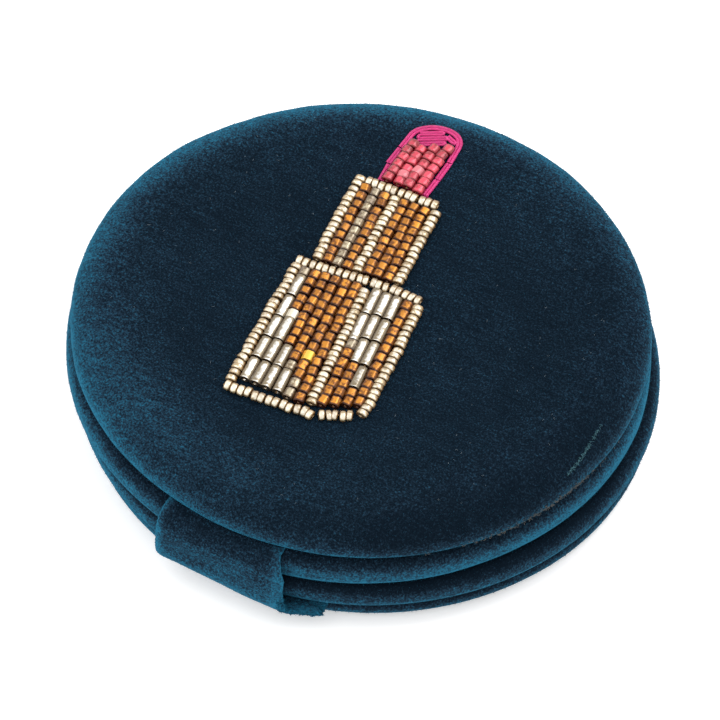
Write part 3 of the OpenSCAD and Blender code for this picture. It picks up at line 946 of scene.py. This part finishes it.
# How the outlines stray from a circle: waves in a turn, size in mm and angle
LID_WAVES = [(2, 0.25, 40), (3, 0.18, 200), (5, 0.12, 80)]
BASE_WAVES = [(2, 0.2, 10), (3, 0.15, 120), (4, 0.12, 300)]
TOP_RING_WAVES = [(1, 0.55, -80), (2, 0.15, 100), (5, 0.12, 20)]
LOW_RING_WAVES = [(1, 0.4, -90), (0, 0.25, 0), (3, 0.12, 60)]
LID_PAD = make_pad(
    "lid_velvet_pad", "lid_cover", "lid", 1, VELVET_TOP, LID_WAVES, seed=3.0, pile=26000
)
make_pad(
    "base_velvet_pad", "base_cover", "base", -1, VELVET_BASE, BASE_WAVES, seed=11.0, pile=12000
)
LID_RING = make_ring(
    "lid_velvet_ring", "lid_ring_cover", "lid_mirror", "lid", True, VELVET_RING,
    TOP_RING_WAVES, seed=21.0, pile=13000, corner=(2.6 * MM, 1.7 * MM), sag=0.25 * MM,
    even=0.06, uneven=(0.0, 0),
)
make_ring(
    "base_velvet_ring", "base_ring_cover", "base_mirror", "base", False, VELVET_RING,
    LOW_RING_WAVES, seed=31.0, pile=13000, corner=(2.4 * MM, 2.4 * MM), sag=0.4 * MM,
    even=-0.04, uneven=(0.16, 170),
)
hinge_half("hinge_velvet_lower", True, VELVET_BAND)
hinge_half("hinge_velvet_upper", False, VELVET_BAND)

# Bead and wire colours: core is the painted highlight, body the glass, rim the painted shade at the sides and
# ends
GOLD = glass_bead(
    "gold_lined_glass", core=(0.84, 0.76, 0.6), body=(0.5, 0.37, 0.19), rim=(0.18, 0.1, 0.035),
    metal=0.4, rough=0.2, streak=0.09, flecks=0.6, ends=0.16, warm=(0.33, 0.155, 0.028),
)
SILVER = glass_bead(
    "silver_lined_glass", core=(1.0, 0.99, 0.95), body=(0.24, 0.18, 0.095), rim=(0.06, 0.035, 0.016),
    metal=0.5, rough=0.15, streak=0.075, flecks=0.14, ends=0.05, warm=(0.115, 0.07, 0.026),
)
CLEAR = glass_bead(
    "clear_lined_glass", core=(0.55, 0.47, 0.31), body=(0.25, 0.17, 0.08), rim=(0.08, 0.045, 0.02),
    metal=0.4, rough=0.2, streak=0.08, flecks=0.6, ends=0.2, odd=(0.9, (0.7, 0.64, 0.5)),
)
AMBER = glass_bead(
    "amber_glass", core=(0.68, 0.27, 0.022), body=(0.3, 0.1, 0.009), rim=(0.055, 0.014, 0.004),
    metal=0.45, rough=0.24, streak=0.11, flecks=0.55, ends=0.4, coat=0.1, odd=(0.988, (0.85, 0.5, 0.07)),
)
RED = glass_bead(
    "coral_glass", core=(0.84, 0.058, 0.11), body=(0.46, 0.016, 0.034), rim=(0.24, 0.01, 0.02),
    metal=0.05, rough=0.18, streak=0.13, flecks=0.6, ends=0.22, coat=0.45, odd=(0.93, (0.62, 0.15, 0.18)),
)
PINK = glass_bead(
    "pink_wire", core=(1.0, 0.075, 0.35), body=(0.8, 0.03, 0.23), rim=(0.26, 0.005, 0.06),
    metal=0.2, rough=0.3, streak=0.34, flecks=0.3, ends=0.3, coat=0.25,
)

for name in ("tube_outline", "tube_ridge", "collar_outline", "collar_gold"):
    bead_piece(name + "_seeds", name + "_beads", GOLD, soft=0.2, wobble=6,
               fat=1.4, long=1.13, gloss=(0.5, 1.0), stray=0.09)
for name in ("tube_left", "tube_right"):
    bead_piece(name + "_long_beads", name + "_bugles", SILVER, soft=0.05, facet=0.15,
               wobble=0.7, gloss=(0.85, 1.0), long=0.98, fat=1.36)
for name, wobble in (("tube", 2), ("collar", 3)):
    bead_piece(name + "_clear_seeds", name + "_clear_beads", CLEAR, soft=0.08, facet=0.6,
               wobble=wobble, gloss=(0.3, 1.0), fat=1.36, long=1.06)
for name in ("tube_left_amber", "tube_right_amber", "collar_amber"):
    bead_piece(name + "_seeds", name + "_beads", AMBER, soft=0.06, facet=0.7, wobble=4,
               fat=1.38, long=1.06, gloss=(0.25, 1.0), stray=0.07)
bead_piece("lip_red_seeds", "lip_red_beads", RED, soft=0.2, facet=0.3, wobble=5, fat=1.4,
           long=1.16, gloss=(0.1, 1.0), stray=0.1)
# The coils stand a touch higher and thicker than the CAD's plain rods
lip_lo, lip_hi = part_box("lip_outline_purl")
PURL = {"height": (lip_lo.z + lip_hi.z) / 2 + 0.03 * MM, "reach": (lip_hi.z - lip_lo.z) / 2 * 1.12}
coil_piece(
    "lip_outline_coils", "lip_outline_purl", outline_strands(), PINK, "pink_purl", wide=1.16, **PURL
)
coil_piece("lip_tip_coils", "lip_tip_purl", tip_strands(), PINK, "pink_purl", wide=1.15, **PURL)

lid_x, lid_y, lid_r, lid_low, _ = middle("lid_cover")
PAD, RING = surface(LID_PAD), surface(LID_RING)
# Where rays towards the lid start: over it, and outside it
ABOVE, OUTSIDE = 0.05, 0.06
# Stands for the way from OUTSIDE to the lid's edge where a ray finds no surface
EDGE_DEPTH = 0.011


def dropped(away, degrees, lift):
    """The point of the lid pad under a plan position, lifted a little off it."""
    a = math.radians(degrees)
    start = Vector((lid_x + away * math.cos(a), lid_y + away * math.sin(a), ABOVE))
    return tuple(PAD.ray_cast(start, Vector((0, 0, -1)))[0] + Vector((0, 0, lift)))


def creased(degrees, level):
    """The point on the outside of the lid's ring or pad at a height."""
    a = math.radians(degrees)
    centre, out = Vector((lid_x, lid_y, level)), Vector((math.cos(a), math.sin(a), 0))
    start = centre + out * OUTSIDE
    hits = [hit[0] for hit in (PAD.ray_cast(start, -out), RING.ray_cast(start, -out)) if hit[0] is not None]
    hits = hits or [start - out * EDGE_DEPTH]
    return tuple(max(hits, key=lambda p: (p - centre).length) + out * 0.1 * MM)


def pale_spot():
    """A place anywhere on the lid, and a length."""
    place = dropped(lid_r * math.sqrt(RNG.random()) * 0.9, RNG.uniform(0, 360), 0.1 * MM)
    return place, RNG.uniform(0.2, 0.8) * MM


def worn_spot():
    """A place on the worn line of the lid's right shoulder, and a length."""
    along = RNG.random() ** 0.8
    away = (46.6 + 1.5 * along + RNG.normal(0, 0.09)) * MM
    return dropped(away, -2.5 - 14.0 * along, 0.08 * MM), RNG.uniform(0.2, 0.5) * MM


def crushed_spot():
    """A place in the crease between the lid's pad and ring, at the front right, and a length."""
    place = creased(RNG.normal(-24, 10), lid_low + RNG.triangular(0.7, 1.5, 2.5) * MM)
    return place, RNG.uniform(0.25, 0.7) * MM


LINT = simple("pale_lint", (0.1, 0.15, 0.18), (0.3, 0.36, 0.4), 0.001, 0.9)
lint("lid_lint", [pale_spot() for _ in range(170)], LINT, "lid")
WORN = simple("worn_pile", (0.035, 0.13, 0.17), (0.08, 0.2, 0.23), 0.001, 0.9)
lint("lid_worn_pile", [worn_spot() for _ in range(200)], WORN, "lid", 0.035 * MM)
CRUSHED = simple("crushed_pile", (0.012, 0.03, 0.042), (0.14, 0.13, 0.115), 0.0005, 0.95)
lint("lid_crushed_pile", [crushed_spot() for _ in range(260)], CRUSHED, "lid", 0.06 * MM)

PLAIN = {
    "foam": simple("cream_foam", (0.75, 0.7, 0.56), (0.62, 0.56, 0.43), 0.0008, 0.95),
    "board": simple("grey_board", (0.42, 0.34, 0.24), (0.3, 0.24, 0.17), 0.0012, 0.9),
    "wadding": simple("white_wadding", (0.85, 0.85, 0.83), (0.7, 0.7, 0.68), 0.002, 0.95),
    "tape": simple("white_tape", (0.82, 0.82, 0.8), (0.72, 0.72, 0.7), 0.0015, 0.6),
    "magnet": simple("plated_magnet", (0.6, 0.6, 0.62), (0.45, 0.45, 0.47), 0.0006, 0.3, 1.0),
    "thread": simple("sewing_thread", (0.3, 0.16, 0.05), (0.16, 0.08, 0.025), 0.0004, 0.8),
    "mirror_glass": mirror_material(),
}
for sub in frame["record"]["subparts"]:
    if sub["material_slot"] in PLAIN:
        node = NODES[sub["node"]]
        node.data.materials.clear()
        node.data.materials.append(PLAIN[sub["material_slot"]])


# ---------------------------------------------------------------- studio
def make_studio():
    """A white table and a white room, with a key lamp behind on the right and a fill lamp on the left."""
    scene = bpy.context.scene
    scene.view_settings.view_transform = "Standard"
    world = bpy.data.worlds.new("studio")
    world.use_nodes = True
    back = world.node_tree.nodes["Background"]
    back.inputs[0].default_value = (1, 1, 1, 1)
    back.inputs[1].default_value = 1.2
    scene.world = world
    size = 3.0
    corners = [(-size, -size, 0), (size, -size, 0), (size, size, 0), (-size, size, 0)]
    table = simple("white_table", (0.93, 0.93, 0.93), (0.92, 0.92, 0.92), 0.05, 0.6)
    floor = add_piece("floor", corners, [(0, 1, 2, 3)], table, None, smooth=False)
    lit = next(n for n in floor.data.materials[0].node_tree.nodes if n.type == "BSDF_PRINCIPLED")
    lit.inputs["Emission Color"].default_value = (1, 1, 1, 1)
    lit.inputs["Emission Strength"].default_value = 0.35
    for name, place, power, width in (
        ("key", (0.3, 0.5, 0.9), 4.0, 0.7),
        ("fill", (-0.5, -0.4, 0.8), 2.0, 0.8),
    ):
        data = bpy.data.lights.new(name, "AREA")
        data.energy, data.size = power, width
        lamp = bpy.data.objects.new(name, data)
        scene.collection.objects.link(lamp)
        lamp.location = place
        lamp.rotation_euler = (-Vector(place)).to_track_quat("-Z", "Y").to_euler()


make_studio()
